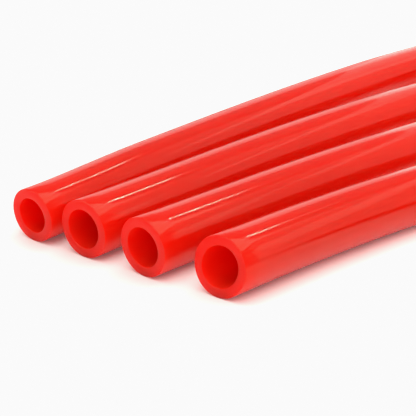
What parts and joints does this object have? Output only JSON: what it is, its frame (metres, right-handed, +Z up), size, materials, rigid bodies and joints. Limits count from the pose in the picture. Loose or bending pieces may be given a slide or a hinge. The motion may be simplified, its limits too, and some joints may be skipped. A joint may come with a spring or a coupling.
{
  "type": "air hose bundle",
  "caption": "Equal lengths of plain pneumatic hose with open square-cut ends, wound together into one strapped coil.",
  "frame": {"origin": "centre of the base, on the surface the hoses and the coil lie on", "axes": "+Z up; +X from the hoses' free cut ends towards the coil; the hoses' free ends lie side by side in the -X half"},
  "size_m": [0.3164, 0.1958, 0.1],
  "materials": {
    "hose": "smooth glossy extruded polyurethane",
    "strap": "woven nylon hook-and-loop strap"
  },
  "bodies": {
    "root": {"hose_1_end": "hose", "hose_2_end": "hose", "hose_3_end": "hose", "hose_4_end": "hose", "hose_1_run": "hose", "hose_2_run": "hose", "hose_3_run": "hose", "hose_4_run": "hose", "hose_1_coil": "hose", "hose_2_coil": "hose", "hose_3_coil": "hose", "hose_4_coil": "hose", "strap_1": "strap", "strap_2": "strap", "strap_3": "strap"}
  },
  "joints": []
}
